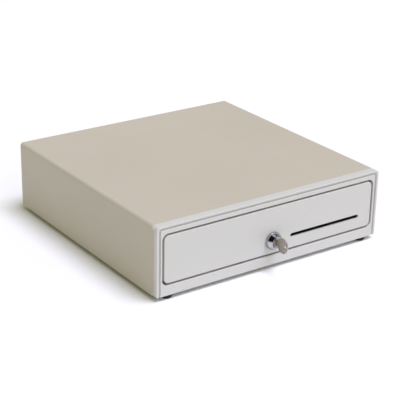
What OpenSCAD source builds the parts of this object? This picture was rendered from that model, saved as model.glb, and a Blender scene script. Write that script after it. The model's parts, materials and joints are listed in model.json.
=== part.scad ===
// Cash drawer: a steel case with a moulded front frame, a key-locked drawer on ball slides,
// a till tray with coin cups and note clips, and an electric latch behind the drawer.
// Inside the modules, y is measured back from the face of the front frame and z up from
// the underside of the case; placed() then moves them into the part's own frame.

/* [Case] */
// Width of the case
body_w = 410; // [404:1:430]
// Depth of the case, from the face of the front frame to the rear panel
body_d = 403; // [403:1:420]
// Height of the case without its feet
body_h = 108.5; // [108:0.5:116]
// Thickness of the sheet steel
sheet_t = 1.2; // [1:0.1:1.4]
// Outer radius of the folded top edges
bend_r = 5; // [3:0.5:6]
// Height of the rubber feet
foot_h = 6.5; // [5:0.5:9]
// Radius of a rubber foot where it meets the case
foot_r = 8.5; // [7:0.5:10]
// Distance of a foot's centre from the side of the case
foot_inset = 23; // [20:1:40]

/* [Front frame] */
// Depth of the moulded front frame in front of the steel cover
bezel_d = 12.8; // [12:0.1:14]
// Width of the outer rim at the sides
rim_w = 4; // [3:0.1:4.4]
// Width of the outer rim at the top
rim_top = 3; // [2.5:0.1:3.5]
// Width of the groove inside the rim
groove_w = 2.8; // [2:0.1:3]
// Depth of the groove
groove_d = 4.4; // [2:0.1:6]
// Where the steel sides end, behind the face of the frame
side_from = 6.3; // [6.1:0.1:8]
// Width of the opening for the drawer
opening_w = 390; // [389:0.5:392]
// Height of the bottom bar under the opening
bottom_bar = 16; // [15.5:0.5:17]
// Height of the opening
opening_h = 80; // [79:0.5:82]

/* [Drawer front] */
// Gap all round between the drawer front and the opening
panel_gap = 3; // [1.5:0.25:3.5]
// Corner radius of the drawer front
panel_r = 8; // [4:1:10]
// Thickness of the drawer front
panel_t = 3.2; // [2.5:0.1:3.2]
// Length of the cheque slot
slot_w = 134.5; // [100:0.5:140]
// Height of the cheque slot
slot_h = 6; // [5.5:0.1:6.5]
// Position of the middle of the cheque slot, right of the drawer's centre
slot_x = 100.6; // [90:0.1:110]
// Height of the cheque slot above the underside of the case
slot_z = 40; // [39.5:0.1:41]

/* [Lock and key] */
// Height of the lock's axis above the underside of the case
lock_z = 40; // [39.5:0.5:40.5]
// Radius of the lock's rim against the drawer front
lock_r = 14; // [12:0.5:15]
// Radius of the lock's front face
lock_face_r = 9.6; // [8.5:0.1:11]
// How far the lock stands out of the drawer front
lock_proud = 11; // [8:0.5:12]
// Diameter of the key's round bow
bow_dia = 24; // [20:0.5:26]
// Thickness of the key
key_t = 1.8; // [1.5:0.1:1.8]
// Length of the cam, from the lock's axis to its tip
cam_len = 30; // [28:0.5:31]

/* [Drawer] */
// Length of the drawer pan
pan_len = 331.8; // [331.8:0.2:332.4]
// Height of the pan's side walls
pan_wall_h = 59; // [50:1:62]
// Number of note bays
note_bays = 5; // [4:1:5]
// Number of coin cups across the tray
coin_cols = 4; // [4:1:5]
// Number of rows of coin cups
coin_rows = 2; // [1:1:2]

/* [Hidden] */

$fn = 48;
fit = 0.06;                    // radial clearance of a running fit
eps = 0.5;                     // how far a cut runs past the face that it opens

// the whole part reaches from the key's tip to the heads of the rear screws
key_reach = lock_proud + 1 + bow_dia;
head_t = 1.5;
front_y = -(body_d + head_t - key_reach) / 2;

inner_w = body_w - 2 * sheet_t;
inner_top = body_h - sheet_t;
floor_top = 2 * sheet_t;
rear_in = body_d - sheet_t;

panel_w = opening_w - 2 * panel_gap;
panel_h = opening_h - 2 * panel_gap;
panel_z = bottom_bar + panel_gap;

// drawer pan
pan_y = panel_t;
pan_end = pan_y + pan_len;
pan_z = panel_z + 2;
pan_floor = pan_z + sheet_t;
pan_half = 186.2;
pan_in = pan_half - sheet_t;

// ball slides: heights of their middle, and the channels' half heights
rail_z = 56;
outer_half = 17.5;
inner_half = 11.5;
rail_web = 196.3;
outer_from = 21.4;
outer_to = 398;
inner_from = 12.4;
inner_to = 386;
ball_r = 2;
ball_x = 191;
ball_off = (inner_half + outer_half - sheet_t) / 2;
cage_from = 170;
cage_to = 290;
cage_t = 0.8;
ball_count = 8;
ball_pitch = 14;

// till tray
tray_z = 47;
tray_top = 91;
tray_half = 183;
tray_from = 23.5;
tray_to = 331;
tray_t = 2.4;
tray_floor = tray_z + tray_t;
tray_in = tray_half - tray_t;
split_y = 128;                 // front face of the wall between the coins and the notes
divider_t = 2;
bay_from = split_y + tray_t;
bay_to = tray_to - tray_t;
bay_pitch = (2 * tray_in + divider_t) / note_bays;
rod_y = 318;
rod_z = 82;
rod_r = 2.5;
clip_len = 65;
clip_pad_r = 3.5;
clip_rest = asin((rod_z - tray_floor - clip_pad_r - 0.3) / clip_len);

// coin tray
coin_half = 180;
coin_from = tray_from + tray_t + 0.4;
coin_to = split_y - 0.4;
coin_z = tray_floor;
coin_top = 88;
coin_t = 2;
scoop_r = 12;
cup_w = (2 * coin_half - (coin_cols + 1) * coin_t) / coin_cols;
cup_l = (coin_to - coin_from - (coin_rows + 1) * coin_t) / coin_rows;

// latch behind the drawer
pivot_y = 380;
pivot_z = 52;
pin_r = 3;
striker_y = 349;
striker_z = 54;
hook_t = 3;
coil_y = 362;
link_z = 62;
bracket_half = 34.2;
bracket_from = 347;
bracket_to = 392;
lug_end = -30;
lever_y = 371;
lever_z = 54;
lever_rest = 24;
crank_y = 356;
crank_len = 22;
crank_rest = 250;
crown_l = 8;
plug_r = 6;
barrel_r = 9.5;
plug_end = 16.5;
cam_t = 3;
rod_rad = 3;

// spring behind the drawer
kick_x = 95;
kick_z = 50;
socket_x = -110;
socket_z = 34;

steel = [0.62, 0.63, 0.65];
zinc = [0.72, 0.71, 0.68];
beige = [0.80, 0.76, 0.71];
cream = [0.84, 0.83, 0.80];
black = [0.08, 0.08, 0.09];
tray_grey = [0.16, 0.16, 0.17];
nickel = [0.66, 0.62, 0.57];

// ---------- shared shapes ----------

module placed() translate([0, front_y, foot_h]) children();

// an outline in x and z, from y0 back to y1
module along_y(y0, y1) translate([0, y1, 0]) rotate([90, 0, 0]) linear_extrude(y1 - y0) children();

// an outline in y and z, from x0 to x1
module along_x(x0, x1) translate([x0, 0, 0]) rotate([90, 0, 90]) linear_extrude(x1 - x0) children();

module both_sides() {
    children();
    mirror([1, 0, 0]) children();
}

module block(x, y, z) translate([x[0], y[0], z[0]]) cube([x[1] - x[0], y[1] - y[0], z[1] - z[0]]);

module rod_x(x0, x1, y, z, r) translate([x0, y, z]) rotate([0, 90, 0]) cylinder(r = r, h = x1 - x0);

module rod_along_y(x, y0, y1, z, r) translate([x, y0, z]) rotate([-90, 0, 0]) cylinder(r = r, h = y1 - y0);

// rectangle centred on x, standing on z = 0, with its own radius at the top and at the bottom
module outline(w, h, r_top, r_bottom) {
    for (s = [-1, 1]) {
        translate([s * (w / 2 - r_top), h - r_top]) circle(r = r_top);
        translate([s * (w / 2 - r_bottom), r_bottom]) circle(r = r_bottom);
    }
    translate([-w / 2 + r_top, r_bottom]) square([w - 2 * r_top, h - r_bottom]);
    translate([-w / 2, r_bottom]) square([w, h - r_top - r_bottom]);
    translate([-w / 2 + r_bottom, 0]) square([w - 2 * r_bottom, r_bottom + 0.01]);
}

// slot with round ends, centred
module capsule(w, h) {
    for (s = [-1, 1]) translate([s * (w - h) / 2, 0]) circle(r = h / 2);
    square([w - h, h], center = true);
}

// inside of the steel cover, open at the bottom
module cover_inside() {
    translate([0, -eps]) outline(inner_w, inner_top + eps, bend_r - sheet_t, 0.4);
}

// closed tube swept along points, with flat ends
function unit(v) = v / norm(v);
function heading(p, i) = unit(p[min(i + 1, len(p) - 1)] - p[max(i - 1, 0)]);
function side_of(d, up) = unit(cross(d, up));
module sweep(points, r, sides, up) {
    n = len(points);
    rings = [for (i = [0:n - 1]) let (d = heading(points, i), a = side_of(d, up), b = cross(d, a))
        for (k = [0:sides - 1]) points[i] + r * (cos(360 * k / sides) * a + sin(360 * k / sides) * b)];
    walls = [for (i = [0:n - 2], k = [0:sides - 1]) let (j = (k + 1) % sides)
        [i * sides + k, i * sides + j, (i + 1) * sides + j, (i + 1) * sides + k]];
    first = [for (k = [sides - 1:-1:0]) k];
    last = [for (k = [0:sides - 1]) (n - 1) * sides + k];
    polyhedron(points = rings, faces = concat([first], walls, [last]), convexity = 10);
}

// coil spring of wire radius w along +z, with its ends closed up flat
module coil(r, w, h, turns, steps) {
    count = turns * steps;
    path = [for (i = [0:count]) let (a = 360 * i / steps)
        [r * cos(a), r * sin(a), w + (h - 2 * w) * i / count]];
    sweep(path, w, 6, [0, 0, 1]);
}

// ---------- case ----------

module case_cover() color(beige) placed() {
    along_y(bezel_d, body_d) difference() {
        outline(body_w, body_h, bend_r, 0.4);
        cover_inside();
    }
    // the sides reach further forward than the top
    both_sides() block([inner_w / 2, body_w / 2], [side_from, bezel_d + eps], [3, body_h - bend_r]);
    // turned-in edges under the base plate and in front of the rear panel
    both_sides() block([inner_w / 2 - 12, inner_w / 2 + 0.2], [bezel_d, rear_in], [0, sheet_t]);
    along_y(rear_in - sheet_t, rear_in) difference() {
        intersection() {
            cover_inside();
            translate([-inner_w / 2 - 1, floor_top]) square([inner_w + 2, body_h]);
        }
        translate([-inner_w / 2 + 12, -1]) square([inner_w - 24, inner_top - 11]);
        for (x = [-150, 0, 150]) translate([x, inner_top - 6]) circle(r = 1.6);
    }
}

mount_x = 150;
mount_y = [75, 325];
module base_plate() color(zinc) placed() difference() {
    union() {
        block([-inner_w / 2, inner_w / 2], [bezel_d, rear_in], [sheet_t, floor_top]);
        block([-180, 180], [rear_in - sheet_t, rear_in], [floor_top, 18]);
    }
    for (x = [-mount_x, mount_x], y = mount_y) translate([x, y, 0]) cylinder(r = 2.6, h = 6);
    for (s = [-1, 1]) translate([s * (body_w / 2 - foot_inset), body_d - 20, 0])
        cylinder(r = 1.6, h = 6);
    for (x = [-150, 0, 150]) rod_along_y(x, rear_in - 3, rear_in + 1, 10, 1.6);
}

module rear_panel() color(beige) placed() difference() {
    along_y(rear_in, body_d) difference() {
        intersection() {
            cover_inside();
            translate([-inner_w / 2 - 1, 0]) square([inner_w + 2, body_h]);
        }
        translate([socket_x - 8, socket_z - 7]) square([16, 14]);
        for (x = [-150, 0, 150], z = [10, inner_top - 6]) translate([x, z]) circle(r = 1.6);
    }
}

module front_bezel() color(cream) placed() difference() {
    union() {
        along_y(0, bezel_d) outline(body_w, body_h, bend_r, 3);
        // skirt that plugs into the sides and the top of the steel cover
        along_y(bezel_d, bezel_d + 8) difference() {
            translate([0, floor_top]) outline(inner_w - 0.2, inner_top - floor_top - 0.1, 3.7, 1);
            translate([0, -floor_top]) outline(inner_w - 4.2, inner_top - 0.1, 2, 1);
        }
    }
    along_y(-eps, bezel_d + 1) translate([0, bottom_bar])
        outline(opening_w, opening_h, panel_r + 1.5, panel_r + 1.5);
    // groove between the rim and the inner frame, open at the bottom
    along_y(-eps, groove_d) difference() {
        translate([0, -eps]) outline(body_w - 2 * rim_w, body_h - rim_top + eps, 4, 0.4);
        translate([0, -1]) outline(body_w - 2 * (rim_w + groove_w), body_h - rim_top - groove_w + 1, 2.5, 0.4);
    }
    both_sides() block([inner_w / 2, body_w / 2 + 1], [side_from, bezel_d + 1], [3, body_h - bend_r]);
    for (s = [-1, 1]) translate([s * (body_w / 2 - foot_inset), foot_y[0], -1])
        cylinder(r = 1.6, h = 9);
}

foot_y = [10, body_d - 20];
module at_feet() for (s = [-1, 1], y = foot_y) translate([s * (body_w / 2 - foot_inset), y, 0]) children();

module rubber_feet() color(black) placed() at_feet() difference() {
    translate([0, 0, -foot_h]) cylinder(r1 = foot_r - 0.8, r2 = foot_r, h = foot_h);
    translate([0, 0, -foot_h - 1]) cylinder(r = 1.6, h = foot_h + 2);
    translate([0, 0, -foot_h - 1]) cylinder(r = 4, h = 4);
}

module foot_screws() color(steel) placed() at_feet() {
    translate([0, 0, -foot_h + 3]) difference() {
        translate([0, 0, -1.8]) cylinder(r = 3.4, h = 1.8);
        translate([-2.4, -0.4, -2]) cube([4.8, 0.8, 1]);
    }
    translate([0, 0, -foot_h + 3]) cylinder(r = 1.6, h = foot_h - 3 + 6);
}

module rear_screws() color(steel) placed() for (x = [-150, 0, 150], z = [10, inner_top - 6]) {
    difference() {
        rod_along_y(x, body_d, body_d + head_t, z, 3.2);
        block([x - 2.2, x + 2.2], [body_d + 0.8, body_d + 2], [z - 0.4, z + 0.4]);
        block([x - 0.4, x + 0.4], [body_d + 0.8, body_d + 2], [z - 2.2, z + 2.2]);
    }
    rod_along_y(x, body_d - 6, body_d, z, 1.6);
}

// ---------- ball slides ----------

module rail_brackets() color(zinc) placed() both_sides() along_y(outer_from, outer_to) difference() {
    translate([rail_web, rail_z - 10]) square([inner_w / 2 - rail_web, 20]);
    translate([rail_web + sheet_t, rail_z - 10 + sheet_t])
        square([inner_w / 2 - rail_web, 20 - 2 * sheet_t]);
}

module outer_rails() color(steel) placed() both_sides() along_y(outer_from, outer_to) difference() {
    translate([186.8, rail_z - outer_half]) square([rail_web - 186.8, 2 * outer_half]);
    translate([186, rail_z - outer_half + sheet_t])
        square([rail_web - sheet_t - 186, 2 * (outer_half - sheet_t)]);
}

module inner_rails() color(steel) placed() both_sides() along_y(inner_from, inner_to) difference() {
    translate([pan_half, rail_z - inner_half]) square([6.8, 2 * inner_half]);
    translate([pan_half + sheet_t, rail_z - inner_half + sheet_t])
        square([8, 2 * (inner_half - sheet_t)]);
}

// places children at the balls of the right-hand slide
module at_balls() for (i = [0:ball_count - 1], s = [-1, 1])
    translate([ball_x, cage_from + 11 + i * ball_pitch, rail_z + s * ball_off]) children();

module ball_cage() difference() {
    along_y(cage_from, cage_to) difference() {
        translate([ball_x - 2.6, rail_z - ball_off - cage_t / 2])
            square([6, 2 * ball_off + cage_t]);
        translate([ball_x - 3, rail_z - ball_off + cage_t / 2])
            square([6.4 - cage_t, 2 * ball_off - cage_t]);
    }
    at_balls() cylinder(r = ball_r + 0.05, h = 3, center = true);
}

module balls() at_balls() sphere(r = ball_r);

module ball_cage_right() color(zinc) placed() ball_cage();
module ball_cage_left() color(zinc) placed() mirror([1, 0, 0]) ball_cage();
module balls_right() color(steel) placed() balls();
module balls_left() color(steel) placed() mirror([1, 0, 0]) balls();

// ---------- drawer ----------

module drawer_front() color(cream) placed() difference() {
    union() {
        along_y(0, panel_t) translate([0, panel_z]) outline(panel_w, panel_h, panel_r, panel_r);
        // return edge behind the face
        along_y(panel_t, 12) translate([0, panel_z]) difference() {
            outline(panel_w, panel_h, panel_r, panel_r);
            translate([0, 1.8]) outline(panel_w - 3.6, panel_h - 3.6, panel_r - 1.8, panel_r - 1.8);
        }
    }
    along_y(-eps, panel_t + eps) translate([slot_x, slot_z]) capsule(slot_w, slot_h);
    rod_along_y(0, -eps, panel_t + eps, lock_z, barrel_r);
}

module drawer_pan() color(zinc) placed() difference() {
    block([-pan_half, pan_half], [pan_y, pan_end], [pan_z, pan_z + pan_wall_h]);
    block([-pan_in, pan_in], [pan_y + sheet_t, pan_end - sheet_t], [pan_floor, body_h]);
    rod_along_y(0, pan_y - eps, pan_y + 2, lock_z, barrel_r);
    rod_along_y(0, pan_end - 2, pan_end + eps, lock_z, 6);
    along_y(pan_y - eps, pan_y + 2) translate([slot_x, slot_z]) capsule(slot_w + 4, slot_h + 3);
    // slot for the cam in the floor
    block([-cam_len - 3, 8], [plug_end - 1.5, plug_end + cam_t + 1.5], [pan_z - 1, pan_floor + 1]);
}

module striker() color(steel) placed() {
    block([-14, 14], [pan_end, pan_end + sheet_t], [striker_z - 5.5, striker_z + 8]);
    both_sides() block([5, 6.2], [pan_end + sheet_t, striker_y + 3.5], [striker_z - 5, striker_z + 5]);
    rod_x(-5, 5, striker_y, striker_z, pin_r);
}

module cheque_chute() color(black) placed() along_y(pan_y + sheet_t, 22) difference() {
    translate([slot_x, slot_z]) square([slot_w + 8, slot_h + 5], center = true);
    translate([slot_x, slot_z]) square([slot_w + 2, slot_h + 1], center = true);
}

module front_screws() color(steel) placed() for (x = [-150, 150], z = [30, 72]) {
    y = pan_y + sheet_t;
    difference() {
        rod_along_y(x, y, y + head_t, z, 3);
        block([x - 2.2, x + 2.2], [y + 0.8, y + 2], [z - 0.4, z + 0.4]);
        block([x - 0.4, x + 0.4], [y + 0.8, y + 2], [z - 2.2, z + 2.2]);
    }
}

module tray_ledges() color(zinc) placed() both_sides() along_y(12, 328) {
    translate([pan_in - 10, tray_z - sheet_t]) square([10, sheet_t]);
    translate([pan_in - sheet_t, tray_z - 9]) square([sheet_t, 9 - sheet_t]);
}

module till_tray() color(tray_grey) placed() difference() {
    block([-tray_half, tray_half], [tray_from, tray_to], [tray_z, tray_top]);
    block([-tray_in, tray_in], [tray_from + tray_t, split_y], [tray_floor, body_h]);
    block([-tray_in, tray_in], [bay_from, bay_to], [tray_floor, body_h]);
}

module note_dividers() color(tray_grey) placed() for (i = [1:note_bays - 1])
    difference() {
        x = -tray_in - divider_t / 2 + i * bay_pitch;
        along_x(x - divider_t / 2, x + divider_t / 2) difference() {
            translate([bay_from, tray_floor]) square([bay_to - bay_from, 38]);
            // the front top corner is cut away in a quarter circle
            translate([bay_from, tray_floor + 38]) circle(r = 24);
        }
        rod_x(x - 2, x + 2, rod_y, rod_z, rod_r);
    }

// hollow of a coin cup: its front and rear bottom edges are scooped
module scoop(w, l, h) {
    block([0, w], [0, l], [scoop_r, h]);
    block([0, w], [scoop_r, l - scoop_r], [0, h]);
    for (y = [scoop_r, l - scoop_r]) rod_x(0, w, y, scoop_r, scoop_r);
}

module coin_tray() color(tray_grey) placed() difference() {
    block([-coin_half, coin_half], [coin_from, coin_to], [coin_z, coin_top]);
    for (i = [0:coin_cols - 1], j = [0:coin_rows - 1])
        translate([-coin_half + coin_t + i * (cup_w + coin_t),
                   coin_from + coin_t + j * (cup_l + coin_t), coin_z + coin_t])
            scoop(cup_w, cup_l, 60);
}

module clip_rod() color(steel) placed() rod_x(-tray_in, tray_in, rod_y, rod_z, rod_r);

function bay_x(i) = -tray_in - divider_t / 2 + (i - 0.5) * bay_pitch;

module clip_springs() color(steel) placed() for (i = [1:note_bays])
    translate([bay_x(i) + 16, rod_y, rod_z]) rotate([0, 90, 0]) coil(3.7, 0.5, 8, 5, 12);

// a sprung clip that holds the notes down: a hub on the rod, an arm and a wide pad
module note_clip(i) color(black) placed() difference() {
    union() {
        rod_x(bay_x(i) - 15, bay_x(i) + 15, rod_y, rod_z, 5);
        translate([bay_x(i), rod_y, rod_z]) rotate([clip_rest, 0, 0])
            block([-7, 7], [-clip_len, -3], [-1.2, 1.2]);
        rod_x(bay_x(i) - 22, bay_x(i) + 22, rod_y - clip_len * cos(clip_rest),
              rod_z - clip_len * sin(clip_rest), clip_pad_r);
    }
    rod_x(bay_x(i) - 16, bay_x(i) + 16, rod_y, rod_z, rod_r + fit);
}

module note_clip_1() note_clip(1);
module note_clip_2() note_clip(2);
module note_clip_3() note_clip(3);
module note_clip_4() note_clip(4);
module note_clip_5() note_clip(5);

// ---------- lock ----------

// outline of the lock's head and barrel, in radius and depth
module lock_profile() {
    rise = lock_r - lock_face_r;
    crown = [for (a = [0:15:90])
        [lock_face_r + rise * sin(a), -lock_proud + 0.8 + crown_l * (1 - cos(a))]];
    polygon(concat([[plug_r + fit, -lock_proud], [lock_face_r - 0.8, -lock_proud]], crown,
        [[lock_r, 0], [barrel_r, 0], [barrel_r, plug_end - 2], [plug_r + fit, plug_end - 2]]));
}

module lock_housing() color([0.75, 0.76, 0.78]) placed() translate([0, 0, lock_z])
    rotate([-90, 0, 0]) rotate_extrude($fn = 72) lock_profile();

module lock_nut() color(steel) placed() translate([0, pan_y + sheet_t, lock_z]) rotate([-90, 0, 0])
    difference() {
        cylinder(r = 14, h = 4, $fn = 6);
        translate([0, 0, -1]) cylinder(r = barrel_r, h = 6);
    }

module lock_plug() color(nickel) placed() difference() {
    rod_along_y(0, -lock_proud + 0.4, plug_end, lock_z, plug_r);
    block([-key_t / 2 - 0.3, key_t / 2 + 0.3], [-lock_proud - 1, 14], [lock_z - 4, lock_z + 4]);
}

module lock_cam() color(steel) placed() difference() {
    union() {
        rod_along_y(0, plug_end, plug_end + cam_t, lock_z, 7);
        block([-cam_len, 0], [plug_end, plug_end + cam_t], [lock_z - 5, lock_z + 5]);
    }
    rod_along_y(0, plug_end - 1, plug_end + cam_t + 1, lock_z, rod_rad);
}

module cam_nut() color(steel) placed() translate([0, plug_end + cam_t, lock_z]) rotate([-90, 0, 0])
    difference() {
        cylinder(r = 6.3, h = 3.2, $fn = 6);
        translate([0, 0, -1]) cylinder(r = rod_rad, h = 6);
    }

module rod_bush() color(black) placed() difference() {
    union() {
        rod_along_y(0, pan_end - 4, pan_end, lock_z, 6);
        rod_along_y(0, pan_end - 4, pan_end - sheet_t, lock_z, 8);
    }
    rod_along_y(0, pan_end - 5, pan_end + 1, lock_z, rod_rad + fit);
}

// rod from the cam to the latch, with a crank that lifts the hook when the key is turned
module lock_rod() color(steel) placed() {
    rod_along_y(0, plug_end, crank_y + 3.8, lock_z, rod_rad);
    translate([0, 0, lock_z]) {
        rod_along_y(0, crank_y, crank_y + 3, 0, 4.2);
        rotate([0, 90 - crank_rest, 0]) block([-3.5, 3.5], [crank_y, crank_y + 3], [0, crank_len]);
    }
}

bow_y = -lock_proud - 1 - bow_dia / 2;
module key() color(nickel) placed() {
    difference() {
        rod_x(-key_t / 2 - 0.3, key_t / 2 + 0.3, bow_y, lock_z, bow_dia / 2);
        rod_x(-3, 3, bow_y - bow_dia / 2 + 5, lock_z, 2.6);
    }
    block([-key_t / 2, key_t / 2], [bow_y + bow_dia / 2 - 1, 12], [lock_z - 3.6, lock_z + 3]);
}

module lock_keeper() color(steel) placed() {
    block([-38, 30], [14, 14 + sheet_t], [floor_top, 15]);
    block([-38, 30], [14 + sheet_t, 28], [floor_top, floor_top + sheet_t]);
}

// ---------- latch ----------

module latch_bracket() color(zinc) placed() difference() {
    union() {
        both_sides() {
            block([bracket_half - sheet_t, bracket_half], [bracket_from, bracket_to], [floor_top, 105]);
            block([bracket_half, bracket_half + 10], [bracket_from, bracket_to],
                  [floor_top, floor_top + sheet_t]);
        }
        block([-bracket_half, bracket_half], [377, 377 + sheet_t], [70, 105]);
    }
    rod_x(-bracket_half - 1, bracket_half + 1, pivot_y, pivot_z, pin_r);
    for (s = [-1, 1], y = [353, 386]) translate([s * (bracket_half + 5), y, 0])
        cylinder(r = 1.6, h = 6);
}

module bracket_rivets() color(steel) placed() for (s = [-1, 1], y = [353, 386])
    translate([s * (bracket_half + 5), y, floor_top]) {
        cylinder(r = 1.6, h = sheet_t);
        translate([0, 0, sheet_t]) cylinder(r1 = 3, r2 = 2, h = 1.2);
    }

module solenoid_frame() color(zinc) placed() difference() {
    block([-14, 14], [348.5, 377], [73, 105]);
    block([-15, 15], [348, 375], [75, 103]);
    translate([0, coil_y, 70]) cylinder(r = 5.4, h = 10);
}

module coil_bobbin() color(cream) placed() translate([0, coil_y, 75]) difference() {
    union() {
        cylinder(r = 6.4, h = 28);
        for (z = [0, 26.5]) translate([0, 0, z]) cylinder(r = 12.6, h = 1.5);
    }
    translate([0, 0, -1]) cylinder(r = 5.4, h = 30);
}

module solenoid_coil() color([0.62, 0.30, 0.14]) placed() translate([0, coil_y, 76.5]) difference() {
    cylinder(r = 11.8, h = 25);
    translate([0, 0, -1]) cylinder(r = 6.4, h = 27);
}

// round plunger, slotted at its lower end for the hook plate
module plunger() color(steel) placed() difference() {
    translate([0, coil_y, link_z - 3.5]) cylinder(r = 5, h = 38);
    block([-1.9, 1.9], [coil_y - 6, coil_y + 6], [link_z - 5, link_z + 9.4]);
    // flat at the back, clear of the hook's spring tab
    block([-6, 6], [coil_y + 3.4, coil_y + 6], [link_z - 5, link_z + 2]);
    rod_x(-6, 6, coil_y, link_z, 1.5);
}

module link_pin() color(steel) placed() rod_x(-5.4, 5.4, coil_y, link_z, 1.5);

module hook_pin() color(steel) placed() {
    rod_x(-bracket_half - 1.5, bracket_half + 1.5, pivot_y, pivot_z, pin_r);
    both_sides() rod_x(bracket_half, bracket_half + 1.5, pivot_y, pivot_z, 4.5);
}

module pin_spacers() color(black) placed() both_sides() difference() {
    rod_x(1.9, bracket_half - sheet_t, pivot_y, pivot_z, 5);
    rod_x(1, bracket_half, pivot_y, pivot_z, pin_r);
}

// hook plate with its beak in front of the striker's pin, a lug for the crank and a spring tab
module latch_hook() color(steel) placed() {
    along_x(-hook_t / 2, hook_t / 2) difference() {
        union() {
            // its top edge slopes, to stay under the solenoid when it lifts
            polygon([[364, 67], [358, 65.8], [348, 62.6], [340, 62], [337.5, 57], [341.5, 48],
                     [345.4, 48], [345.4, 57.6], [357, 57.6], [357, 44.5], [361, 44.5], [363, 57.6],
                     [374, 57.6], [380, 52], [388, 52], [388, 62], [383, 67]]);
            translate([pivot_y, pivot_z]) circle(r = 8);
        }
        translate([pivot_y, pivot_z]) circle(r = pin_r + fit);
        translate([coil_y - 6.2, 59.3]) square([8.3, 4.7]);
    }
    block([lug_end, -hook_t / 2], [357, 361], [44.5, 47]);
    block([hook_t / 2, 10], [366, 370], [57.6, 60]);
}

module hook_spring() color(steel) placed() translate([7, 368, floor_top])
    coil(2.6, 0.4, 57.3 - floor_top, 18, 12);

module microswitch() color(black) placed() {
    difference() {
        block([-bracket_half + sheet_t, -23], [353, 373], [57, 67]);
        for (y = [357, 369]) rod_x(-40, -20, y, 64, 1.3);
    }
    block([-bracket_half + sheet_t, -30.4], [369.4, 372.6], [52.4, 57]);
    rod_x(-30.4, -25.4, lever_y, lever_z, 0.8);
    for (y = [356, 363, 370]) block([-29.6, -26.4], [y, y + 0.6], [67, 73]);
}

module switch_lever() color(steel) placed() difference() {
    union() {
        rod_x(-30, -26, lever_y, lever_z, 1.5);
        translate([0, lever_y, lever_z]) rotate([lever_rest, 0, 0])
            block([-30, -26], [-15, -1], [-0.25, 0.25]);
    }
    rod_x(-31, -25, lever_y, lever_z, 0.8 + fit);
}

// ---------- opening spring, socket and wiring ----------

module kick_seat() color(black) placed() translate([kick_x, rear_in, kick_z]) rotate([90, 0, 0]) {
    difference() {
        cylinder(r = 11, h = 8);
        translate([0, 0, 2]) cylinder(r = 9, h = 8);
    }
    cylinder(r = 4.5, h = 30);
}

module kick_spring() color(steel) placed() translate([kick_x, 341, kick_z]) rotate([-90, 0, 0])
    coil(7.2, 0.9, rear_in - 2 - 341, 9, 20);

module kick_cap() color(black) placed() difference() {
    rod_along_y(kick_x, 335.4, 346, kick_z, 10);
    rod_along_y(kick_x, 340.4, 347, kick_z, 8.6);
}

module cable_socket() color(black) placed() difference() {
    union() {
        block([socket_x - 8, socket_x + 8], [386, body_d], [socket_z - 7, socket_z + 7]);
        block([socket_x - 10, socket_x + 10], [rear_in - 2.2, rear_in - sheet_t],
              [socket_z - 9, socket_z + 9]);
    }
    block([socket_x - 5, socket_x + 5], [390, body_d + 1], [socket_z - 3.6, socket_z + 3.6]);
    block([socket_x - 3, socket_x + 3], [398, body_d + 1], [socket_z - 5.4, socket_z]);
}

module terminal_block() color([0.90, 0.90, 0.88]) placed() difference() {
    block([-40.2, -bracket_half], [360, 376], [84, 94]);
    for (y = [363, 368, 373]) translate([-37.2, y, 92]) cylinder(r = 1.2, h = 3);
}

harness_route = [
    [-110, 386, 34], [-110, 378, 32], [-108, 372, 24], [-102, 370, 14], [-92, 370, 8],
    [-78, 372, 6.4], [-64, 376, 6.4], [-54, 379, 8], [-46, 380, 16], [-41, 379, 28],
    [-38, 376, 42], [-37, 372, 56], [-37, 369, 70], [-37, 368, 84]
];
module wire_harness() color(black) placed() sweep(harness_route, 2, 8, [0.3, 0.9, 0.3]);

case_cover();
base_plate();
rear_panel();
front_bezel();
rubber_feet();
foot_screws();
rear_screws();
rail_brackets();
outer_rails();
lock_keeper();
latch_bracket();
bracket_rivets();
solenoid_frame();
coil_bobbin();
solenoid_coil();
hook_pin();
pin_spacers();
hook_spring();
microswitch();
kick_seat();
kick_spring();
cable_socket();
terminal_block();
wire_harness();
drawer_front();
drawer_pan();
inner_rails();
striker();
cheque_chute();
front_screws();
tray_ledges();
till_tray();
note_dividers();
coin_tray();
clip_rod();
clip_springs();
rod_bush();
lock_housing();
lock_nut();
ball_cage_left();
balls_left();
ball_cage_right();
balls_right();
lock_plug();
lock_cam();
cam_nut();
lock_rod();
key();
latch_hook();
plunger();
link_pin();
switch_lever();
kick_cap();
note_clip_1();
note_clip_2();
note_clip_3();
note_clip_4();
note_clip_5();
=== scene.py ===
"""The looks of a steel cash drawer, laid out as an add-on and run as a script."""
import json
import math

import bmesh
import bpy
from bpy.props import FloatProperty, FloatVectorProperty, PointerProperty
from mathutils import Matrix, Vector


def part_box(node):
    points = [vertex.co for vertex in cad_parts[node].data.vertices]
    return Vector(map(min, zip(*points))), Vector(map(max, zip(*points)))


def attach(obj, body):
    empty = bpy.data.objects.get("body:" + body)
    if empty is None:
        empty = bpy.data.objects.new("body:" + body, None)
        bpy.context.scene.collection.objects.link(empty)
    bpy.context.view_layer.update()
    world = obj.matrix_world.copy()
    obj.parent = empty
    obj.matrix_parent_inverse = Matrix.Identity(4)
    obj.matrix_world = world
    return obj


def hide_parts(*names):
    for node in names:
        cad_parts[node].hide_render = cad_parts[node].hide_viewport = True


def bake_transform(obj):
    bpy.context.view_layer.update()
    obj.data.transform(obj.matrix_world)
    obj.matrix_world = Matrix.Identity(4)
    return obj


bl_info = {
    "name": "Cash Drawer",
    "version": (1, 0, 0),
    "blender": (4, 5, 0),
    "location": "3D View > Sidebar > Cash Drawer",
    "description": "Finishes and small parts of a steel cash drawer",
    "category": "Object",
}

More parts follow.
